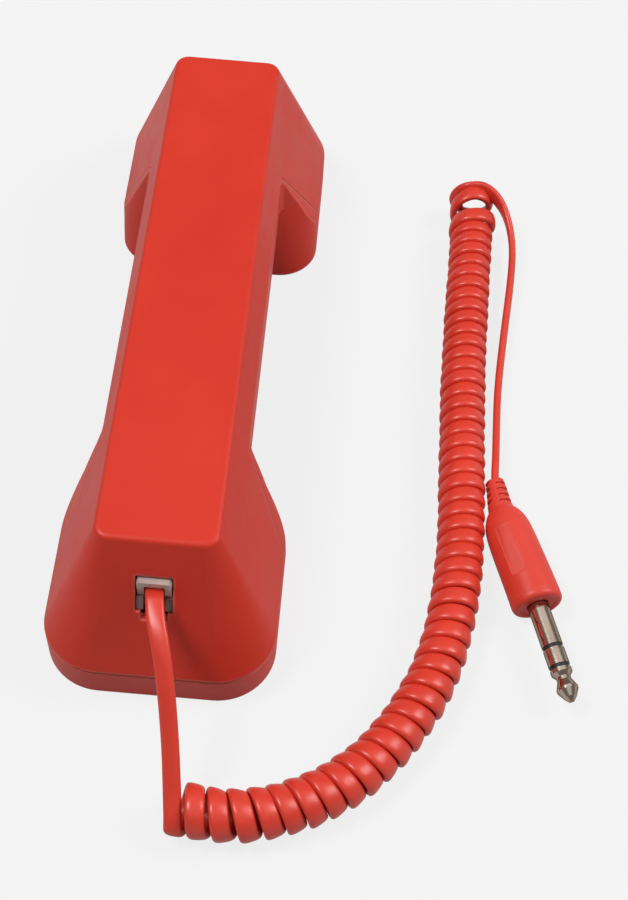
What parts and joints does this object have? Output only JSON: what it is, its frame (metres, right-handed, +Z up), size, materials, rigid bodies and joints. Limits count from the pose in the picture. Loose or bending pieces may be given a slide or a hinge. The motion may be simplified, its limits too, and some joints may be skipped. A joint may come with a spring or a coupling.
{
  "type": "telephone handset with coiled cord and jack plug",
  "caption": "Hand-held telephone handset with a flat spine and square cups; a coiled cord unplugs from its mouth end and ends in a straight jack plug.",
  "frame": {"origin": "on the table, below the middle of the handset, which lies on its cups with the flat spine up", "axes": "+Y along the handset to the ear end, +Z up through the spine, +X to the side where the cord lies"},
  "size_m": [0.1544, 0.2654, 0.056],
  "materials": {
    "red_shell": "fine satin moulding",
    "red_cord": "smooth flexible vinyl",
    "smoke_plastic": "smoked",
    "clear_plastic": "clear moulding",
    "gold": "plated",
    "nickel": "polished",
    "grey_metal": "plain",
    "screw_steel": "zinc",
    "black_cloth": "woven",
    "black_rubber": "matte",
    "black_plastic": "matte",
    "diaphragm_film": "film",
    "board_green": "solder mask",
    "lead_insulation": "insulated wire"
  },
  "bodies": {
    "handset": {"rear_shell": "red_shell", "front_shell": "red_shell", "shell_screws": "screw_steel", "board_screws": "screw_steel", "ear_cloth": "black_cloth", "receiver_gasket": "black_rubber", "receiver_diaphragm": "diaphragm_film", "receiver_basket": "grey_metal", "receiver_magnet": "grey_metal", "microphone_cloth": "black_cloth", "microphone_capsule": "nickel", "microphone_boot": "black_rubber", "circuit_board": "board_green", "board_parts": "black_plastic", "jack_socket": "smoke_plastic", "socket_contacts": "gold", "receiver_leads": "lead_insulation", "microphone_leads": "lead_insulation"},
    "cord_set": {"modular_plug": "clear_plastic", "plug_contacts": "gold", "cord_near_tail": "red_cord", "cord_coil": "red_cord", "cord_far_tail": "red_cord", "jack_grip": "red_cord", "jack_sleeve": "nickel", "rear_insulator": "black_plastic", "jack_ring": "nickel", "front_insulator": "black_plastic", "jack_tip": "nickel", "jack_terminals": "gold"},
    "latch": {"plug_latch": "clear_plastic"}
  },
  "joints": [
    {"name": "plug_slide", "type": "slide", "parent": "handset", "child": "cord_set", "axis": [0, -1, 0], "range_m": [0, 0.025]},
    {"name": "latch_hinge", "type": "hinge", "parent": "cord_set", "child": "latch", "pos_m": [0, -0.0881, 0.03714], "axis": [-1, 0, 0], "range_deg": [0, 8], "stiffness_Nm_per_rad": 0.02}
  ]
}
